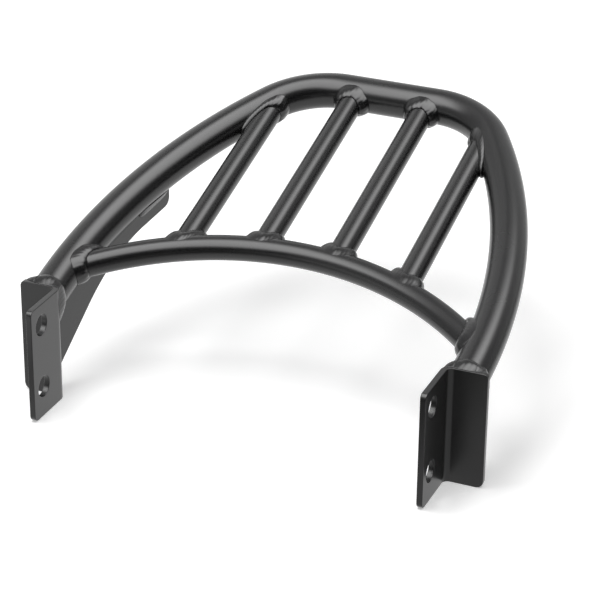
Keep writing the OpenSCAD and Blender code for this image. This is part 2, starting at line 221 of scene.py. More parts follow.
def put_pair(node, points, faces, material, slot):
    """The right-hand piece and its mirror image on the left."""
    return [
        put_piece(node + "_right", points, faces, material, slot),
        put_piece(node + "_left", points * [-1, 1, 1], faces[:, ::-1], material, slot),
    ]


# %% [markdown]
# ## The powder coat
#
# Powder coat is sprayed on as dry powder and melted into a skin about a tenth of a
# millimetre thick. It never lies quite flat. Under a light it shows orange peel, a pebbled
# waviness two or three millimetres across, and a finer grain from the powder itself. Where
# the skin is a little thicker it is also a little glossier. All of this is one node group,
# because the tubes, the plates and the welds share it with different strengths.

# %% Nodes that compute
def wired(tree, kind, *values, **settings):
    """One node of a kind, whose first inputs are numbers or other nodes' outputs."""
    node = tree.nodes.new("ShaderNode" + kind)
    for setting, value in settings.items():
        setattr(node, setting, value)
    for socket, value in zip(node.inputs, values):
        if isinstance(value, bpy.types.NodeSocket):
            tree.links.new(value, socket)
        else:
            socket.default_value = value
    return node.outputs[0] if node.outputs else node


def compute(tree, kind, *values):
    """Output of one Math node."""
    return wired(tree, "Math", *values, operation=kind)


def chosen(tree, factor, a, b):
    """a where the factor is 0 and b where it is 1."""
    kept = compute(tree, "MULTIPLY", a, compute(tree, "SUBTRACT", 1.0, factor))
    return compute(tree, "MULTIPLY_ADD", b, factor, kept)


def smooth_step(tree, value, span, levels=(0.0, 1.0)):
    """From one level to the other while the value crosses the span, softly at both ends."""
    return wired(tree, "MapRange", value, *span, *levels, interpolation_type="SMOOTHSTEP")


def coordinates(tree, kind):
    """x, y and z of one of the texture coordinates."""
    split = tree.nodes.new("ShaderNodeSeparateXYZ")
    tree.links.new(tree.nodes.new("ShaderNodeTexCoord").outputs[kind], split.inputs[0])
    return [split.outputs[axis] for axis in "XYZ"]


# %% The coat as a node group
PEEL_NOISE = {"Scale": 420, "Detail": 1.5}
GRAIN_NOISE = {"Scale": 2600, "Detail": 1.0}
DRIFT_NOISE = {"Scale": 35, "Detail": 2.0}


def coat_group():
    """Colour, roughness and height of the coat from noise in object space: the grain mixes
    the colour, a slow drift mixes the roughness, and the height is peel times the coarse noise
    plus grain times the fine one."""
    tree = bpy.data.node_groups.new("powder_coat", "ShaderNodeTree")
    for in_out, kind, labels in [
        ("INPUT", "Color", ["Dark", "Light"]),
        ("INPUT", "Float", ["Smooth", "Dull", "Peel", "Grain"]),
        ("OUTPUT", "Color", ["Color"]),
        ("OUTPUT", "Float", ["Roughness", "Height"]),
    ]:
        for label in labels:
            tree.interface.new_socket(label, in_out=in_out, socket_type="NodeSocket" + kind)
    source = tree.nodes.new("NodeGroupInput").outputs
    sink = tree.nodes.new("NodeGroupOutput").inputs
    place = tree.nodes.new("ShaderNodeTexCoord")

    def noise(sizes):
        texture = tree.nodes.new("ShaderNodeTexNoise")
        for label, value in sizes.items():
            texture.inputs[label].default_value = value
        tree.links.new(place.outputs["Object"], texture.inputs["Vector"])
        return texture.outputs["Fac"]

    peel, grain, drift = noise(PEEL_NOISE), noise(GRAIN_NOISE), noise(DRIFT_NOISE)
    for data_type, kind, factor, low, high, result in [
        ("RGBA", "RGBA", grain, "Dark", "Light", "Color"),
        ("FLOAT", "VALUE", drift, "Smooth", "Dull", "Roughness"),
    ]:
        mix = tree.nodes.new("ShaderNodeMix")
        mix.data_type = data_type
        tree.links.new(factor, mix.inputs["Factor"])
        a, b = [s for s in mix.inputs if s.type == kind][-2:]
        tree.links.new(source[low], a)
        tree.links.new(source[high], b)
        tree.links.new([s for s in mix.outputs if s.type == kind][0], sink[result])
    waves = compute(tree, "MULTIPLY", peel, source["Peel"])
    specks = compute(tree, "MULTIPLY", grain, source["Grain"])
    tree.links.new(compute(tree, "ADD", waves, specks), sink["Height"])
    return tree


powder_coat = coat_group()
print("coat group:", len(powder_coat.nodes), "nodes")

# %% Materials
COAT_IOR = 1.52
COOL = 1.03


def coated(name, bump, dark, light, **levels):
    """A Principled shader whose colour, roughness and normal come from the coat group."""
    material = bpy.data.materials.new(name)
    material.use_nodes = True
    nodes, links = material.node_tree.nodes, material.node_tree.links
    shader = nodes["Principled BSDF"]
    coat = nodes.new("ShaderNodeGroup")
    coat.node_tree = powder_coat
    for label, value in [("Dark", dark), ("Light", light)]:
        coat.inputs[label].default_value = (value, value, value * COOL, 1)
    for label, value in levels.items():
        coat.inputs[label.title()].default_value = value
    relief = nodes.new("ShaderNodeBump")
    relief.inputs["Distance"].default_value = bump
    links.new(coat.outputs["Color"], shader.inputs["Base Color"])
    links.new(coat.outputs["Roughness"], shader.inputs["Roughness"])
    links.new(coat.outputs["Height"], relief.inputs["Height"])
    links.new(relief.outputs["Normal"], shader.inputs["Normal"])
    shader.inputs["IOR"].default_value = COAT_IOR
    return material


tube_coat = coated(
    "satin_black_tube", bump=0.010 * MM, dark=0.006, light=0.009,
    smooth=0.24, dull=0.29, peel=1.0, grain=0.12,
)
plate_coat = coated(
    "satin_black_plate", bump=0.012 * MM, dark=0.006, light=0.010,
    smooth=0.26, dull=0.32, peel=1.0, grain=0.15,
)
weld_coat = coated(
    "satin_black_weld", bump=0.015 * MM, dark=0.006, light=0.010,
    smooth=0.20, dull=0.26, peel=1.2, grain=0.15,
)
print("materials:", [m.name for m in (tube_coat, plate_coat, weld_coat)])

# %% [markdown]
# ## The hoop
#
# The real hoop is one length of 3/4 inch tube, bent over a large roll for the sides and a
# tight die for the two rear corners. It could be a curve with a bevel, but then the ends
# would be square to the path, while the real ones are sawn to lie flat on the brackets. So
# the skin is worked out directly. A point goes along the path by one parameter and round the
# tube by the other, and every point of the first ring is slid along the side arc until it
# lies in the plane of the bracket's rear face.

# %% Round the tube and along the path
AROUND = 96
around = linspace(0, 2 * pi, AROUND, endpoint=False)


def carried(centre, bend, turn, r, phi):
    """Skin of a bent tube: the point at a distance bend + r cos(phi) from the bend's centre,
    at the angle turn, and r sin(phi) above the plane."""
    d = bend + r * cos(phi)
    return xyz(centre[0] + d * cos(turn), centre[1] + d * sin(turn), r * sin(phi))


def sawn(r, phi):
    """Angle on the side arc at which a line of the hoop reaches the bracket's face: there
    WIDEST_AT + d sin(angle), with d its distance from the centre, is r sin(phi) tan(TILT)."""
    return arcsin((r * sin(phi) * tan(TILT) - WIDEST_AT) / (side_r + r * cos(phi)))


def hoop_rings(r, side_rings=72, corner_rings=40):
    """Rings from the right-hand bracket to the rear run, then their mirror image."""
    phi = around[None, :]
    cut = sawn(r, phi)
    step = linspace(0, 1, side_rings)[:, None]
    side = carried(side_centre, side_r, cut + step * (blend_angle - cut), r, phi)
    turn = linspace(blend_angle, pi / 2, corner_rings)[1:, None]
    corner = carried([run_x, corner_y], CORNER_R, turn, r, phi)
    half = concatenate([side, corner])
    return concatenate([half, half[::-1] * [-1, 1, 1]])


def put_tube(node, outer, bore):
    """One closed shell: the bore's rings follow the outer skin's, backwards, and the last
    ring meets the first."""
    rings = concatenate([outer, bore[::-1]])
    faces = quads(*rings.shape[:2], wrap_rows=True, wrap_cols=True)
    put_piece(node, tilted(rings), faces, tube_coat, "black_powder_coat")


put_tube("hoop_tube", hoop_rings(HOOP_R), hoop_rings(HOOP_R - HOOP_WALL))
print("hoop:", face_counts[-1], "faces")

# %% [markdown]
# ## The cross tube and the slats
#
# Each end of these tubes is coped: it is notched so that it sits like a saddle on the tube
# it meets. A boolean cut would do it, and leave a ragged mesh. Here every line along the
# tube starts and ends where it meets the other tube's skin, so the saddle comes out
# of the formula. For the cross tube that place is where two circles cross. For a slat it is
# the height of the skin above the line.

# %% Where skins meet
def circles_meet(r1, r2):
    """Right-hand crossing of two circles, round the bow's centre and the side arc's centre.
    The foot lies at a = (d^2 + r1^2 - r2^2) / 2d on the line between them, and the crossing
    at sqrt(r1^2 - a^2) to the side of it."""
    c1, c2 = array([[0, bow_y], side_centre])
    d = np.linalg.norm(c2 - c1)
    ex, ey = (c2 - c1) / d
    a = (d * d + r1 ** 2 - r2 ** 2) / (2 * d)
    h = sqrt(r1 ** 2 - a ** 2)
    return c1[0] + a * ex + h * ey, c1[1] + a * ey - h * ex


def cross_meets_hoop(r, b, phi):
    """Place in the rack's plane where a line of the cross tube, at an angle round its skin of
    radius r, meets the hoop's skin of radius b."""
    inner = side_r - sqrt(b ** 2 - (r * sin(phi)) ** 2)
    return circles_meet(CROSS_BOW_R + r * cos(phi), inner)


def hoop_y(x, offset):
    """Depth of the hoop's centreline, moved inwards by an offset, at a place across."""
    ax = np.abs(x)
    corner_w = np.clip(ax - run_x, 0, CORNER_R - offset)
    corner = corner_y + sqrt((CORNER_R - offset) ** 2 - corner_w ** 2)
    side = WIDEST_AT + sqrt((side_r - offset) ** 2 - (ax - side_x) ** 2)
    blend_x = run_x + (CORNER_R - offset) * cos(blend_angle)
    return where(ax <= run_x, HOOP_REACH - offset, where(ax <= blend_x, corner, side))


def cross_y(x, offset):
    """Depth of the cross tube's centreline, moved rearwards by an offset."""
    return bow_y + sqrt((CROSS_BOW_R + offset) ** 2 - x ** 2)


# %% The cross tube
def cross_rings(r, count=161):
    """Rings from one end to the other, the end rings lying on the hoop's skin."""
    x, y = cross_meets_hoop(r, HOOP_R, around[None, :])
    end = arctan2(y - bow_y, x)
    step = linspace(0, 1, count)[:, None]
    return carried([0, bow_y], CROSS_BOW_R, end + step * (pi - 2 * end), r, around[None, :])


put_tube("cross_tube", cross_rings(CROSS_R), cross_rings(CROSS_R - CROSS_WALL))
print("cross tube:", face_counts[-1], "faces")

# %% The slats
slat_places = (np.arange(SLAT_COUNT) - (SLAT_COUNT - 1) / 2) * SLAT_PITCH


def slat_rings(x0, r, count=41):
    """Rings from the cross tube's rear skin to the hoop's inner skin, straight in between."""
    phi = around[None, :]
    x = x0 + r * cos(phi)
    z = r * sin(phi)
    start = cross_y(x, sqrt(CROSS_R ** 2 - z ** 2))
    end = hoop_y(x, sqrt(HOOP_R ** 2 - z ** 2))
    step = linspace(0, 1, count)[:, None]
    return xyz(x, start + step * (end - start), z)


for number, x0 in enumerate(slat_places, 1):
    put_tube(f"slat_{number}", slat_rings(x0, SLAT_R), slat_rings(x0, SLAT_R - SLAT_WALL))
print("slats at x in mm:", np.round(slat_places / MM, 1))

# %% [markdown]
# ## The brackets
#
# A bracket is cut by laser from 3 mm plate, drilled, and folded once on a press brake. So it
# is modelled as it is made: a flat pattern with two holes, thickened and folded. The flange
# with the holes is two fans of quads, each running from a hole's edge out to the outline.
# The rest is a plain grid whose rows start at the fans' last points. Laser-cut edges are
# square, but the coat rounds them, so every edge gets a small quarter round.

# %% The cells round the holes
CORNER_STEPS = 4
FAN_STEPS = 84
FAN_RINGS = 9
RAY_GAP = 0.03
TINY = 1e-9


def corner_rows():
    """Heights that draw the round corner at the foot and the one at the top."""
    lift = 1 - sin(linspace(0, pi / 2, CORNER_STEPS))
    return concatenate([foot_z + FOOT_CORNER_R * lift, top_z - TOP_CORNER_R * lift])


def outline_inset(z):
    """How far the plate's free edge draws in at a height, to round its two corners."""
    up = np.clip(z - (top_z - TOP_CORNER_R), 0, TOP_CORNER_R)
    down = np.clip((foot_z + FOOT_CORNER_R) - z, 0, FOOT_CORNER_R)
    return (
        TOP_CORNER_R - sqrt(TOP_CORNER_R ** 2 - up ** 2)
        + FOOT_CORNER_R - sqrt(FOOT_CORNER_R ** 2 - down ** 2)
    )


def cell_reach(ray_y, ray_z, hole_z, low, high):
    """Length of each ray from the hole's axis to the nearest side of its cell, or to the round
    corner where the cell has one: the far root of a circle and a line."""
    reach = np.full_like(ray_y, np.inf)
    for side, ray in [(bend_y, ray_y), (front_y, ray_y), (high - hole_z, ray_z), (low - hole_z, ray_z)]:
        hit = side / where(np.abs(ray) < TINY, TINY, ray)
        reach = where((hit > 0) & (hit < reach), hit, reach)
    for r, edge, sign in [(TOP_CORNER_R, high, 1), (FOOT_CORNER_R, low, -1)]:
        if edge not in (top_z, foot_z):
            continue
        centre_y, centre_z = front_y + r, edge - hole_z - sign * r
        along = ray_y * centre_y + ray_z * centre_z
        inside = along ** 2 - (centre_y ** 2 + centre_z ** 2 - r ** 2)
        hit = along + sqrt(maximum(inside, 0))
        beyond = (hit * ray_y < centre_y) & (sign * (hit * ray_z - centre_z) > 0) & (inside > 0)
        reach = where(beyond, minimum(reach, hit), reach)
    return reach


def fan(hole_z, low, high):
    """Quads from a hole's edge to the cell round it. Each ray leaves the hole's axis at an
    angle and ends on the cell's outline, and the rings divide it evenly."""
    rows = corner_rows()
    rows = np.append(rows[(rows >= low - TINY) & (rows <= high + TINY)], [low, high])
    needed = concatenate([
        arctan2(rows - hole_z, bend_y),
        arctan2(rows - hole_z, front_y + outline_inset(rows)),
    ])
    free = (np.arange(FAN_STEPS) + 0.5) * 2 * pi / FAN_STEPS - pi
    spare = np.min(np.abs(free[:, None] - needed[None, :]), axis=1) > RAY_GAP
    angle = np.unique(np.round(concatenate([needed, free[spare]]), 9))
    ray_y, ray_z = cos(angle), sin(angle)
    reach = cell_reach(ray_y, ray_z, hole_z, low, high)
    y, z = reach * ray_y, hole_z + reach * ray_z
    step = linspace(0, 1, FAN_RINGS)[:, None]
    edge_y, edge_z = HOLE_R * ray_y, hole_z + HOLE_R * ray_z
    points = xyz(edge_y + step * (y - edge_y), edge_z + step * (z - edge_z), 0)
    faces = quads(FAN_RINGS, len(angle), wrap_cols=True)
    return points.reshape(-1, 3), faces, z[np.abs(y - bend_y) < TINY]


# %% The whole pattern and its fold
BEND_STEPS = 12
FLANGE_STEPS = 8


def bracket_pattern():
    """Flat pattern with x running from the front edge to the outer one: below bend_y it is
    the depth of the strut flange, then one unit of the bend, then the width of the other."""
    middle = -HOLE_PITCH / 2
    upper, upper_faces, upper_rows = fan(0.0, middle, top_z)
    lower, lower_faces, lower_rows = fan(-HOLE_PITCH, foot_z, middle)
    rows = np.unique(np.round(concatenate([upper_rows, lower_rows]), 10))
    bend = linspace(0, 1, BEND_STEPS + 1)
    flange = linspace(0, 1, FLANGE_STEPS + 1)[1:]
    width = outer_x - bend_x - outline_inset(rows)[:, None]
    across = concatenate([
        np.broadcast_to(bend_y + bend, (len(rows), len(bend))),
        bend_y + 1 + flange * width,
    ], axis=1)
    sheet = xyz(across, rows[:, None], 0).reshape(-1, 3)
    sheet_faces = quads(len(rows), across.shape[1])[:, ::-1]
    faces = [upper_faces, lower_faces + len(upper), sheet_faces + len(upper) + len(lower)]
    return merged(concatenate([upper, lower, sheet]), concatenate(faces))


def folded(pattern, depth):
    """The pattern folded at its bend, at a depth below the outer skin: flat, then round the
    bend's centre by 90 degrees, then flat again."""
    s, z = pattern[:, 0], pattern[:, 1]
    turn = np.clip(s - bend_y, 0, 1) * pi / 2
    r = bend_outer_r - depth
    straight = minimum(s - bend_y, 0)
    beyond = maximum(s - bend_y - 1, 0)
    return xyz(bend_x - r * cos(turn) + beyond, bend_y + r * sin(turn) + straight, z)


# %% Thickness and rounded edges
EDGE_ROUND = 0.3 * MM
ROUND_STEPS = 4


def rim_of(faces):
    """The edges that only one face uses, each in that face's order."""
    edges = concatenate([faces[:, [k, (k + 1) % 4]] for k in range(4)])
    key = np.sort(edges, axis=1)
    _, index, uses = np.unique(key, axis=0, return_inverse=True, return_counts=True)
    return edges[uses[index.reshape(-1)] == 1]


def wall(upper, lower):
    """Quads between two copies of the rim, one on each side."""
    return stack([upper[:, 1], upper[:, 0], lower[:, 0], lower[:, 1]], axis=-1)


def thickened(front, back, faces):
    """A closed plate from two copies of one sheet: the faces of both, and a wall at the rim."""
    count = len(front)
    rim = rim_of(faces)
    points = concatenate([front, back])
    return points, concatenate([faces, faces[:, ::-1] + count, wall(rim, rim + count)])


def rounded_plate(flat, faces, shape):
    """A closed plate whose edges are quarter rounds: for a turn t of 0 to 90 degrees the rim
    is drawn in by EDGE_ROUND (1 - sin t) at a depth of EDGE_ROUND (1 - cos t), and the other
    face is the same from behind. shape puts flat points at a depth below the first skin."""
    count = len(flat)
    rim = rim_of(faces)
    run = unit(flat[rim[:, 1], :2] - flat[rim[:, 0], :2])
    inward = np.zeros((count, 3))
    for end in (0, 1):
        np.add.at(inward, rim[:, end], xyz(run[:, 1], -run[:, 0], 0))
    on_rim = np.unique(rim)
    inward[on_rim] = unit(inward[on_rim])
    slot = np.zeros(count, int)
    slot[on_rim] = np.arange(len(on_rim))
    turn = linspace(0, pi / 2, ROUND_STEPS)
    drawn, deep = EDGE_ROUND * (1 - sin(turn)), EDGE_ROUND * (1 - cos(turn))
    drawn, deep = np.append(drawn, drawn[::-1]), np.append(deep, PLATE_T - deep[::-1])
    narrow = flat + EDGE_ROUND * inward
    points = [shape(narrow, 0.0), shape(narrow, PLATE_T)]
    rows = [rim]
    for row in range(1, 2 * ROUND_STEPS - 1):
        points.append(shape(flat[on_rim] + drawn[row] * inward[on_rim], deep[row]))
        rows.append(2 * count + (row - 1) * len(on_rim) + slot[rim])
    rows.append(rim + count)
    walls = [wall(upper, lower) for upper, lower in zip(rows, rows[1:])]
    return concatenate(points), concatenate([faces, faces[:, ::-1] + count, *walls])


def flat_normals(piece):
    """Normals weighted by face area, so that flats stay flat beside the rounds."""
    flats = piece.modifiers.new("flat_faces", "WEIGHTED_NORMAL")
    flats.keep_sharp = False


def rounded_edges(piece, segments=3, sharper_than=radians(50)):
    """Bevel on the sharp edges, with flat normals beside it."""
    bevel = piece.modifiers.new("coat_radius", "BEVEL")
    bevel.width = EDGE_ROUND
    bevel.segments = segments
    bevel.limit_method = "ANGLE"
    bevel.angle_limit = sharper_than
    flat_normals(piece)


# %% The two brackets
pattern, faces = bracket_pattern()
points, faces = rounded_plate(pattern, faces, folded)
for bracket in put_pair("bracket", points, faces, plate_coat, "black_powder_coat"):
    flat_normals(bracket)
print("bracket:", len(faces), "faces")

# %% [markdown]
# ## The gussets
#
# Each gusset stands upright under a leg. Its lower edge climbs steeply from the bracket's
# foot, turns in a wide hollow and runs out almost level to a rounded tail. Its upper edge
# follows the hoop's underside, apart from a small notch at the bracket that lets the hoop's
# weld pass. The plate is a ruled sheet between these two edges, and the upper one is worked
# out for each side of the plate, because the two sides meet the round tube at different heights.

# %% Gusset sizes
GUSSET_T = 3 * MM
HALF_T = GUSSET_T / 2
GUSSET_REACH = 107 * MM
GUSSET_FOOT = 4 * MM
GUSSET_TAIL = 10 * MM
TAIL_SLOPE = radians(10)
KNEE_AT = 56 * MM
KNEE_R = 100 * MM
TAIL_CORNER_R = 5 * MM
RELIEF_R = 6 * MM
NOTCH_STEP = 0.01 * MM

gusset_yaw = arctan2(leg_x - side_at(GUSSET_REACH / cos(TILT)), GUSSET_REACH)
gusset_l = GUSSET_REACH / cos(gusset_yaw)
gusset_foot_z = foot_z + GUSSET_FOOT
tube_slope = tan(TILT) * cos(gusset_yaw)
tail_z = hoop_z + gusset_l * tube_slope - HOOP_R / cos(TILT) - GUSSET_TAIL
knee_z = tail_z - (gusset_l - KNEE_AT) * tan(TAIL_SLOPE)
foot_slope = arctan2(knee_z - gusset_foot_z, KNEE_AT)
relief_z = hoop_z - HOOP_R / cos(TILT)


# %% Edges of the plate
FOOT_POINTS = 20
KNEE_POINTS = 40
LEVEL_POINTS = 12
TAIL_POINTS = 14


def heading(turn):
    """Unit vector at an angle, or one for each angle."""
    return stack([cos(turn), sin(turn)], axis=-1)


def lower_edge():
    """Foot line, knee arc, tail line and tail corner, as distance behind the bracket and height."""
    square = pi / 2
    knee_l = KNEE_R * tan((foot_slope - TAIL_SLOPE) / 2)
    knee_in = [KNEE_AT, knee_z] - knee_l * heading(foot_slope)
    knee_centre = knee_in - KNEE_R * heading(foot_slope + square)
    knee_turn = linspace(foot_slope, TAIL_SLOPE, KNEE_POINTS) + square
    tail_l = TAIL_CORNER_R * tan((square - TAIL_SLOPE) / 2)
    tail_in = [gusset_l, tail_z] - tail_l * heading(TAIL_SLOPE)
    tail_centre = tail_in + TAIL_CORNER_R * heading(TAIL_SLOPE + square)
    tail_turn = linspace(TAIL_SLOPE - square, 0, TAIL_POINTS)
    foot = linspace([0, gusset_foot_z], knee_in, FOOT_POINTS)[:-1]
    bend = knee_centre + KNEE_R * heading(knee_turn)
    level = linspace(bend[-1], tail_in, LEVEL_POINTS)[1:-1]
    return concatenate([foot, bend, level, tail_centre + TAIL_CORNER_R * heading(tail_turn)])


def seam(s, side):
    """Distance of the tube's axis outboard of the plate's side, and the height at which that
    side meets the tube from below, at a distance s behind the bracket."""
    y = s * cos(gusset_yaw) / cos(TILT)
    offset = side_at(y) - (leg_x - s * sin(gusset_yaw) + side)
    drop = sqrt(maximum(HOOP_R ** 2 - offset ** 2, 0))
    return offset, hoop_z + s * tube_slope - drop / cos(TILT)


def on_gusset(s, h, w):
    """Point of the plate at a distance behind the bracket, a height and an offset outboard."""
    return xyz(
        leg_x - s * sin(gusset_yaw) + w * cos(gusset_yaw),
        face_y + s * cos(gusset_yaw) + w * sin(gusset_yaw),
        h,
    )


# %% The two gussets
SHEET_ROWS = 9
NOTCH_POINTS = 8
NOTCH_ROOM = 1.1


def gusset_sheet(side):
    """Ruled sheet at one side of the plate, between the lower edge and the upper one, which
    is the notch's quarter circle near the bracket and then the seam."""
    low = lower_edge()
    low = low[low[:, 0] > RELIEF_R * NOTCH_ROOM]
    notch_s = RELIEF_R * sin(linspace(0, pi / 2, NOTCH_POINTS))
    notch_s = np.append(notch_s[:-1], [RELIEF_R - NOTCH_STEP, RELIEF_R + NOTCH_STEP])
    s = concatenate([notch_s, low[:, 0]])
    h = concatenate([gusset_foot_z + notch_s * tan(foot_slope), low[:, 1]])
    notch = relief_z - sqrt(maximum(RELIEF_R ** 2 - s ** 2, 0))
    top = where(s < RELIEF_R, notch, seam(s, side)[1])
    step = linspace(0, 1, SHEET_ROWS)[:, None]
    return on_gusset(s, h + step * (top - h), side).reshape(-1, 3), quads(SHEET_ROWS, len(s))


inboard, faces = gusset_sheet(-HALF_T)
outboard, _ = gusset_sheet(HALF_T)
points, faces = thickened(inboard, outboard, faces)
for gusset in put_pair("gusset", points, faces, plate_coat, "black_powder_coat"):
    rounded_edges(gusset)
print("gusset:", len(faces), "faces before the bevel, length in mm:", round(gusset_l / MM, 1))

# %% [markdown]
# ## The welds round the tubes
#
# A weld bead is a fillet that climbs from one tube onto the other. Its two edges, the toes,
# lie on the two skins, a little closer to the corner on the main tube, and its face bulges
# between them. The bulge leans to the branch, so a dark crease runs round the branch, and the
# other toe melts into the main tube. The welder lays it in small overlapping puddles, and each
# leaves a curved ripple. The bead is a section carried once round the joint: the toes are
# found on both skins, and the face is drawn between them with its bulge and its ripples.

# %% The bead's section
BEAD_LEG = 4.8 * MM
BEAD_CROWN = 0.9 * MM
BEAD_LEAN = 0.5
BEAD_SINK = 0.06 * MM
WANDER = 0.05
WANDER_WAVES = [(3, 1.0), (7, 0.6), (13, 0.4)]
RIPPLE_PITCH = 2.2 * MM
RIPPLE_HEIGHT = 0.05 * MM
RIPPLE_BOW = 0.9
RIPPLE_FADE = 0.7
RIPPLE_MEAN = 0.64
FACE_STEPS = 15


def proud_of(chord, up, out):
    """Unit vectors square to the chord, in the plane of up and out, on the open side."""
    side = unit(np.cross(unit(chord), np.cross(up, out)))
    return side * np.sign(np.sum(side * (up + out), axis=-1, keepdims=True))


def ripple(length, k, pitch):
    """Height of the ripples: the size of a cosine along the bead, less its mean. Its phase
    leads by RIPPLE_BOW in the middle of the face, and it fades to nothing at both toes."""
    fade = 4 * k * (1 - k)
    phase = 2 * pi * length / pitch + RIPPLE_BOW * pi * fade
    return RIPPLE_HEIGHT * fade ** RIPPLE_FADE * (np.abs(cos(phase / 2)) - RIPPLE_MEAN)


def bead_face(toe_up, toe_out, proud, crown, closed=True):
    """Rows of points from one toe to the other: the chord, plus the crown's parabola, which
    leans towards the first toe, and the ripples along proud."""
    k = linspace(0, 1, FACE_STEPS)[None, :, None]
    chord = toe_up[:, None, :] + k * (toe_out - toe_up)[:, None, :]
    middle = chord[:, FACE_STEPS // 2, :]
    step = np.linalg.norm(np.roll(middle, -1, axis=0) - middle, axis=-1)
    if not closed:
        step[-1] = 0
    length = concatenate([[0], np.cumsum(step)[:-1]])
    whole = np.sum(step)
    pitch = whole / np.round(whole / RIPPLE_PITCH)
    arch = 4 * k * (1 - k) * (1 + BEAD_LEAN * (1 - 2 * k))
    lift = arch * crown + ripple(length[:, None, None], k, pitch)
    return chord + lift * proud[:, None, :]


def wandering(psi, seed):
    """A torch wanders: the leg times 1 + WANDER times a sum of sines round the
    joint, whose phases are drawn from a seed."""
    phases = np.random.default_rng(seed).uniform(0, 2 * pi, len(WANDER_WAVES))
    waves = sum(size * sin(n * psi + phase) for (n, size), phase in zip(WANDER_WAVES, phases))
    return BEAD_LEG * (1 + WANDER * waves)


# %% The section carried round a joint
FLAT_LEG = 0.85
UNDER_FACE = (0.66, 0.33, 0.0)
PROBE = 0.02 * MM
RING_COUNT = 420


def ring_bead(root, main, climb, seed):
    """The section carried round a branch. root gives a place on the main skin for an angle,
    main turns such a place into a point, and climb runs up the branch from it."""
    psi = linspace(0, 2 * pi, RING_COUNT, endpoint=False)
    place = root(psi)
    run_a, run_b = ((main(place + h) - main(place - h)) / (2 * PROBE) for h in PROBE * np.eye(2))
    across = cos(psi) / np.linalg.norm(run_a, axis=-1)
    along = sin(psi) / np.linalg.norm(run_b, axis=-1)
    out = unit(cos(psi)[:, None] * unit(run_a) + sin(psi)[:, None] * unit(run_b))
    up = unit(climb(psi, MM) - climb(psi, 0))
    reach = FLAT_LEG * stack([across, along], axis=-1) * wandering(psi, seed)[:, None]
    toe_up = climb(psi, wandering(psi, seed + 1))
    toe_out = main(place + reach)
    proud = proud_of(toe_out - toe_up, up, out)
    skin = bead_face(toe_up, toe_out, proud, BEAD_CROWN)
    under = [main(place + part * reach)[:, None, :] for part in UNDER_FACE]
    section = concatenate([skin, *under], axis=1)
    return section, quads(RING_COUNT, section.shape[1], wrap_rows=True, wrap_cols=True)


# %% [markdown]
# The slats meet the cross tube in front and the hoop behind. Both skins are seen in the
# rack's leaning plane, where a place on the main tube is its x and how far round the tube it
# lies. The beads sink a hair below the skins, so that no light shows at the toes.

# %% Welds at both ends of the slats
def slat_bead(x0, tube_r, skin_y, way, seed):
    """Bead round a slat, on a main tube whose skin is at skin_y(x, offset). The way to the
    slat's middle is 1, rearwards, or -1."""
    r = SLAT_R - BEAD_SINK
    b = tube_r - BEAD_SINK

    def root(psi):
        """How far round the tube the slat's skin meets it, as a length: b asin(r sin / b)."""
        return stack([x0 + r * cos(psi), b * arcsin(r * sin(psi) / b)], axis=-1)

    def main(place):
        """A point of the main tube's skin from x and the length round it."""
        x, q = place[..., 0], place[..., 1] / b
        return tilted(xyz(x, skin_y(x, b * cos(q)), b * sin(q)))

    def climb(psi, length):
        """From the root along the slat."""
        x, z = x0 + r * cos(psi), r * sin(psi)
        return tilted(xyz(x, skin_y(x, sqrt(b ** 2 - z ** 2)) + way * length, z))

    return ring_bead(root, main, climb, seed)


for number, x0 in enumerate(slat_places, 1):
    for end, tube_r, skin_y, way in [("front", CROSS_R, cross_y, 1), ("rear", HOOP_R, hoop_y, -1)]:
        bead = slat_bead(x0, tube_r, skin_y, way, seed=10 * number + way)
        put_piece(f"slat_{number}_{end}_weld", *bead, weld_coat, "coated_weld")
print("slat welds:", 2 * SLAT_COUNT, "of", face_counts[-1], "faces")

# %% [markdown]
# The cross tube meets the hoop's inner side on a slant. A place on the hoop is its length
# along the side arc and its length round the tube. Below, the bead comes down beside the
# gusset, which meets the hoop there, and is held short of it.

# %% Welds at both ends of the cross tube
def eased(length, limit):
    """A length that grows ever more slowly towards a limit: limit (1 - exp(-length / limit))."""
    return limit * (1 - np.exp(-maximum(length, 0) / limit))


def gusset_side_angle(y):
    """How far round the hoop, down from its inboard side, the gusset's inboard side stands."""
    s = y * cos(TILT) / cos(gusset_yaw)
    offset, _ = seam(s, -HALF_T)
    return np.arccos(offset / HOOP_R)


def cross_bead():
    """Bead round the right-hand end of the cross tube."""
    r = CROSS_R - BEAD_SINK
    b = HOOP_R - BEAD_SINK

    def root(psi):
        """Length along the side arc and length round the tube."""
        x, y = cross_meets_hoop(r, b, psi)
        along = side_r * arctan2(y - WIDEST_AT, x - side_x)
        return stack([along, b * arcsin(r * sin(psi) / b)], axis=-1)

    def main(place):
        """A point of the hoop's skin, with the lower part held short of the gusset."""
        turn, q = place[..., 0] / side_r, place[..., 1] / b
        free = -arcsin(r / b)
        room = gusset_side_angle(WIDEST_AT + side_r * sin(turn)) + free
        q = where(q > free, q, free - eased(free - q, room))
        d = side_r - b * cos(q)
        return tilted(xyz(side_x + d * cos(turn), WIDEST_AT + d * sin(turn), b * sin(q)))

    def climb(psi, length):
        """From the root along the bow, away from the hoop."""
        x, y = cross_meets_hoop(r, b, psi)
        turn = arctan2(y - bow_y, x) + length / (CROSS_BOW_R + r * cos(psi))
        return tilted(carried([0, bow_y], CROSS_BOW_R, turn, r, psi))

    return ring_bead(root, main, climb, seed=60)


put_pair("cross_weld", *cross_bead(), weld_coat, "coated_weld")
print("cross welds:", face_counts[-1], "faces each")

# %% [markdown]
# The hoop's ends stand on the brackets' rear faces. The tube is almost as wide as the
# flange, and its top rises past the flange's top edge, so this bead has to wrap: inwards it
# rolls round the bend, and on top it folds forward over the edge. The bracket's rear skin is
# laid flat for that, with x running out from the bend and y upwards, and a place past an
# edge is carried round it.

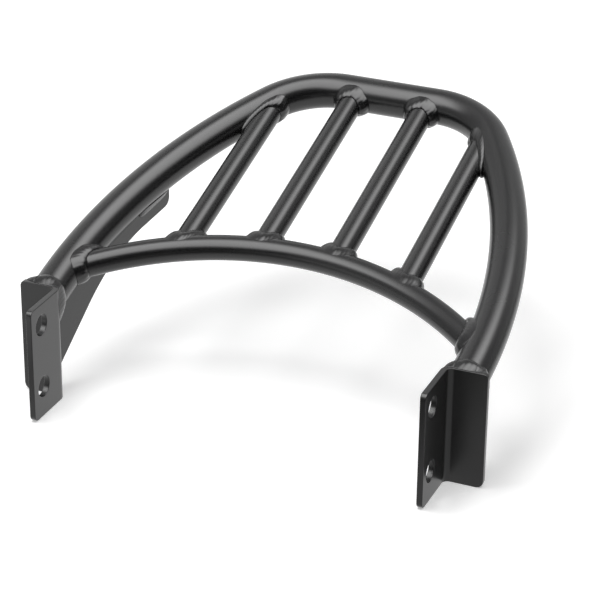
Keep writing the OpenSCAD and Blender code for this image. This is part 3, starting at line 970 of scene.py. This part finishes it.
# %% Welds that hold the hoop to the brackets
BEND_SHARE = 0.98


def rear_skin(place):
    """The bracket's rear skin laid flat. Outward places are held short of the flange's edge,
    negative ones go round the bend, and what rises past the top folds forward over it."""
    across, height = place[..., 0], place[..., 1]
    r = bend_outer_r - BEAD_SINK
    tube_edge = leg_x + HOOP_R - bend_x
    outward = maximum(across, 0)
    past = eased(outward - tube_edge, outer_x - bend_x - tube_edge)
    outward = where(outward < tube_edge, outward, tube_edge + past)
    inward = maximum(-across, 0)
    bent = bend_outer_r + eased(inward - bend_outer_r, bend_outer_r * (pi / 2 - 1))
    turn = where(inward < bend_outer_r, inward, bent) / bend_outer_r
    over = maximum(height - top_z, 0)
    return xyz(
        bend_x + outward - r * sin(turn),
        bend_y + r * cos(turn) - eased(over, PLATE_T),
        height - over,
    )


def hoop_bead():
    """Bead round the right-hand end of the hoop."""
    r = HOOP_R - BEAD_SINK

    def climb(psi, length):
        """From the bracket's rear face along the leg."""
        turn = sawn(r, psi) + length / (side_r + r * cos(psi))
        return tilted(carried(side_centre, side_r, turn, r, psi))

    def root(psi):
        """Where the leg's skin stands on the bracket, or past the bend's start, round it."""
        foot = climb(psi, 0)
        across = foot[:, 0] - bend_x
        share = minimum(maximum(-across, 0) / bend_outer_r, BEND_SHARE)
        round_bend = -arcsin(share) * bend_outer_r
        return stack([where(across > 0, across, round_bend), foot[:, 2]], axis=-1)

    return ring_bead(root, rear_skin, climb, seed=70)


put_pair("hoop_weld", *hoop_bead(), weld_coat, "coated_weld")
print("hoop welds:", face_counts[-1], "faces each")

# %% [markdown]
# ## The welds of the gussets
#
# The gusset is held by two short welds. A stitch 26 mm long runs along the seam with the
# hoop, near the tail, on the inboard side. Another bead comes down one side of the gusset's
# foot, turns under it and goes up the other side. Both are open beads: the section is the
# same fillet, and at the two ends it shrinks to a point.

# %% Open beads
END_POWER = 5
END_LEAST = 0.0004


def open_bead(root, toe_a, toe_b, crown):
    """A fillet along a line of roots. Towards the ends, at t = -1 and 1, both toes shrink to
    the root by sqrt(1 - |t|^END_POWER), and the last rings are closed by fans of quads."""
    t = linspace(-1, 1, len(root))[:, None]
    size = sqrt(maximum(1 - np.abs(t) ** END_POWER, END_LEAST))
    toe_a, toe_b = root + size * (toe_a - root), root + size * (toe_b - root)
    proud = proud_of(toe_b - toe_a, toe_a - root, toe_b - root)
    skin = bead_face(toe_a, toe_b, proud * size, crown, closed=False)
    section = concatenate([skin, root[:, None, :]], axis=1)
    rows, cols = section.shape[:2]
    j = np.arange(0, cols - 2, 2)
    cap = stack([np.full_like(j, cols - 1), j, j + 1, j + 2], axis=-1)
    ends = [cap, cap[:, ::-1] + (rows - 1) * cols]
    return section, concatenate([quads(rows, cols, wrap_cols=True)[:, ::-1], *ends])


# %% The stitch at the gusset's tail
STITCH_LEG = 3.6 * MM
STITCH_L = 26 * MM
STITCH_INSET = 2 * MM
STITCH_CROWN = 0.4 * MM
STITCH_RINGS = 240


def stitch_bead():
    """From the seam, one toe goes down the plate and the other round the tube's underside."""
    end = gusset_l - STITCH_INSET
    s = linspace(end - STITCH_L, end, STITCH_RINGS)
    offset, height = seam(s, -HALF_T)
    root = on_gusset(s, height, -HALF_T)
    toe_plate = on_gusset(s, height - STITCH_LEG, -HALF_T + BEAD_SINK)
    y = s * cos(gusset_yaw) / cos(TILT)
    phi = arctan2(-sqrt(HOOP_R ** 2 - offset ** 2), -offset)
    turn = arcsin((y - WIDEST_AT) / side_r)
    at_root, at_toe = (
        tilted(carried(side_centre, side_r, turn, HOOP_R - BEAD_SINK, angle))
        for angle in (phi, phi - STITCH_LEG / HOOP_R)
    )
    return open_bead(root, toe_plate, at_toe + root - at_root, STITCH_CROWN)


put_pair("gusset_weld", *stitch_bead(), weld_coat, "coated_weld")
print("stitches:", face_counts[-1], "faces each")

# %% The bead round the gusset's foot
FOOT_LEG = 3 * MM
FOOT_CROWN = 0.5 * MM
SIDE_RINGS = 119
TURN_RINGS = 60


def foot_bead():
    """A U on the bracket's rear face: down the inboard side, round below, up the outboard
    side. One toe goes out along the face and the other back along the plate, and below the
    foot that toe follows the slope of the lower edge."""
    low = gusset_foot_z + HALF_T
    down = linspace(relief_z - RELIEF_R, low, SIDE_RINGS + 1)[:-1]
    turn = linspace(pi, 2 * pi, TURN_RINGS)
    straight = np.ones(SIDE_RINGS)
    out_x = concatenate([-straight, cos(turn), straight])
    out_z = concatenate([0 * straight, sin(turn), 0 * straight])
    height = concatenate([down, np.full(TURN_RINGS, low), down[::-1]])
    half = HALF_T - BEAD_SINK
    wide = half + FOOT_LEG
    root = xyz(leg_x + out_x * half, face_y, height + out_z * half)
    toe_face = xyz(leg_x + out_x * wide, face_y - BEAD_SINK, height + out_z * wide)
    back = unit(xyz(0 * out_x, 1.0, -out_z * tan(foot_slope)))
    return open_bead(root, toe_face, root + FOOT_LEG * back, FOOT_CROWN)


put_pair("gusset_foot_weld", *foot_bead(), weld_coat, "coated_weld")
print("foot welds:", face_counts[-1], "faces each, all pieces:", sum(face_counts), "faces")

# %% [markdown]
# ## Floor, light and camera
#
# The rack is shown as a studio shot on white. The floor and the world are white to the camera,
# and a soft shadow stays on the floor. A black object with a gloss shows mostly what it
# reflects, so reflections see a room of their own. A long soft box hangs overhead, turned
# across the view, and draws the bright line along every tube. A pale wall stands behind and a
# dimmer one on the left. The floor carries a painted reflection: a glow that only reflections
# see, bright behind the rack and dark in front of it, and those dark parts leave the black
# bands in between. Light is never sampled from the world or the floor on their own account,
# because Cycles would then look them up without asking whether the ray is a reflection.

# %% The floor
FLOOR_SIZE = 6.0
WHITE = (1, 1, 1, 1)
PAPER = (0.92, 0.92, 0.92, 1)
GLOW = (0.33, 1.0)
GLOW_SQUARES = (0.2, 1.0)
PAINTED_GLOW = (0.04, 1.15)
PAINTED_GLOW_Y = (-0.14, 0.03)
RIGHT = (1.0, 0.3)
RIGHT_X = (0.14, 0.40)
CORNER = 0.68
CORNER_X = (0.07, 0.12)
CORNER_Y = (0.06, 0.0)
LEFT = (0.0, 0.78)
LEFT_X = (-0.12, -0.26)
NEAR = (0.0, 1.2)
NEAR_X = (-0.11, -0.16)
NEAR_Y = (0.0, -0.04)

floor_mesh = bpy.data.meshes.new("floor")
corners = FLOOR_SIZE * array([[-1, -1, 0], [1, -1, 0], [1, 1, 0], [-1, 1, 0]]) + [0, 0, foot_z]
floor_mesh.from_pydata(corners.tolist(), [], [[0, 1, 2, 3]])
floor = bpy.data.objects.new("floor", floor_mesh)
collection.objects.link(floor)
floor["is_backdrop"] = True


def floor_material():
    """White diffuse paper with a plain glow that only the camera sees, and that grows to full
    white as x^2 + y^2 does. Reflections see a painted glow instead, which ends in front of the
    rack, is dimmer at the right-hand bracket and further right, and brighter at the near left."""
    material = bpy.data.materials.new("paper_and_painted_reflection")
    material.cycles.emission_sampling = "NONE"
    material.use_nodes = True
    tree = material.node_tree
    tree.nodes.clear()
    x, y, _ = coordinates(tree, "Object")
    rays = tree.nodes.new("ShaderNodeLightPath").outputs
    squares = compute(tree, "MULTIPLY_ADD", x, x, compute(tree, "MULTIPLY", y, y))
    growing = smooth_step(tree, squares, GLOW_SQUARES, GLOW)
    strength = compute(tree, "MULTIPLY", rays["Is Camera Ray"], growing)
    glow = wired(tree, "Emission", WHITE, strength)
    lit_paper = wired(tree, "AddShader", wired(tree, "BsdfDiffuse", PAPER), glow)

    # Painted reflection: the floor glows for glossy rays only, bright behind the rack, dark in front of
    # it, dimmer to the right and brighter at the near left.
    painted_glow = smooth_step(tree, y, PAINTED_GLOW_Y, PAINTED_GLOW)
    corner = compute(tree, "MULTIPLY", smooth_step(tree, x, CORNER_X), smooth_step(tree, y, CORNER_Y))
    painted_glow = chosen(tree, corner, painted_glow, CORNER)
    painted_glow = compute(tree, "MULTIPLY", painted_glow, smooth_step(tree, x, RIGHT_X, RIGHT))
    near = compute(tree, "MULTIPLY", smooth_step(tree, x, NEAR_X, NEAR), smooth_step(tree, y, NEAR_Y))
    side = compute(tree, "MAXIMUM", smooth_step(tree, x, LEFT_X, LEFT), near)
    mirror = wired(tree, "Emission", WHITE, compute(tree, "MAXIMUM", painted_glow, side))
    wired(tree, "OutputMaterial", wired(tree, "MixShader", rays["Is Glossy Ray"], lit_paper, mirror))
    return material


floor_mesh.materials.append(floor_material())
print("floor at z in mm:", round(foot_z / MM, 1))

# %% The world
BOX_CENTRE = (0.041, -0.131)
BOX_TURN = radians(44)
BOX_HALF = (0.256, 0.458)
BOX_EDGE = 0.09
BOX_RADIANCE = 5.5
BOX_SLOPE = -0.6
ROOM = 0.25
BACK_WALL = (0.0, 0.74)
BACK_WALL_Y = (0.0, 1.0)
LEFT_WALL = (0.0, 0.53)
LEFT_WALL_X = (-0.27, -0.45)


def studio_world():
    """White to the camera and one plain level to diffuse rays. For reflections a direction
    (x, y, z) is laid flat as (x, y) / (1 + z): straight up is the middle and the horizon the
    unit circle. The soft box is a turned rectangle there, and the walls are steps in y and x."""
    world = bpy.data.worlds.new("studio")
    scene.world = world
    world.cycles.sampling_method = "NONE"
    world.use_nodes = True
    tree = world.node_tree
    tree.nodes.clear()

    def math(kind, *values):
        return compute(tree, kind, *values)

    x, y, z = coordinates(tree, "Generated")
    depth = math("ADD", 1.0, math("MAXIMUM", z, 0.0))
    flat_x, flat_y = (
        math("SUBTRACT", math("DIVIDE", axis, depth), centre) for axis, centre in zip((x, y), BOX_CENTRE)
    )
    c, s = float(cos(BOX_TURN)), float(sin(BOX_TURN))
    u = math("MULTIPLY_ADD", flat_x, c, math("MULTIPLY", flat_y, -s))
    v = math("MULTIPLY_ADD", flat_x, s, math("MULTIPLY", flat_y, c))
    box = math("MULTIPLY", *(
        smooth_step(tree, math("ABSOLUTE", part), (half + BOX_EDGE, half - BOX_EDGE))
        for part, half in zip((u, v), BOX_HALF)
    ))
    panel = math("MULTIPLY_ADD", u, BOX_SLOPE * BOX_RADIANCE, BOX_RADIANCE)
    back_wall = smooth_step(tree, y, BACK_WALL_Y, BACK_WALL)
    walls = math("ADD", back_wall, smooth_step(tree, x, LEFT_WALL_X, LEFT_WALL))
    rays = tree.nodes.new("ShaderNodeLightPath").outputs
    seen = chosen(tree, rays["Is Glossy Ray"], ROOM, chosen(tree, box, walls, panel))
    plain = math("MAXIMUM", rays["Is Camera Ray"], rays["Is Transmission Ray"])
    wired(tree, "OutputWorld", wired(tree, "Background", WHITE, chosen(tree, plain, seen, 1.0)))
    print("world:", len(tree.nodes), "nodes")


studio_world()

# %% [markdown]
# The lamps give the plain level of light and the soft shadows, which fall to the right and
# behind. They don't show in reflections, because the world holds the soft box for those.

# %% The lamps
MIDDLE = Vector((0, 0.11, 0.02))


def soft_box(name, direction, distance, side, radiance):
    """A square lamp that faces the rack's middle from a direction. Its power follows from
    its radiance: power = radiance x pi x area."""
    lamp = bpy.data.lights.new(name, "AREA")
    lamp.size = side
    lamp.energy = radiance * pi * side * side
    holder = bpy.data.objects.new(name, lamp)
    collection.objects.link(holder)
    away = Vector(direction).normalized()
    holder.location = MIDDLE + away * distance
    holder.rotation_euler = away.to_track_quat("Z", "Y").to_euler()
    holder.visible_glossy = False
    print(name, "in watts:", round(lamp.energy, 1))


soft_box("overhead_light", direction=(0.05, -0.1, 0.99), distance=1.4, side=1.6, radiance=1.4)
soft_box("left_light", direction=(-0.3, -0.1, 0.95), distance=1.3, side=0.7, radiance=6.0)

# %% The camera
CAMERA_AZIMUTH = radians(22.724)
CAMERA_ELEVATION = radians(26.428)
CAMERA_ROLL = radians(0.614)
CAMERA_PLACE = (0.4162, -0.9063, 0.5299)
CAMERA_LENS = 142.49

lens = bpy.data.cameras.new("camera")
lens.lens = CAMERA_LENS
camera = bpy.data.objects.new("camera", lens)
collection.objects.link(camera)
camera.matrix_world = (
    Matrix.Translation(CAMERA_PLACE)
    @ Matrix.Rotation(CAMERA_AZIMUTH, 4, "Z")
    @ Matrix.Rotation(pi / 2 - CAMERA_ELEVATION, 4, "X")
    @ Matrix.Rotation(CAMERA_ROLL, 4, "Z")
)
scene.camera = camera
scene.view_settings.view_transform = "Standard"
print("camera at:", CAMERA_PLACE)

# %% The visual box
visual_box = [[float(c) for c in corner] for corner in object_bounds()]
print("visual box in mm:", np.round(array(visual_box) / MM, 1).tolist())
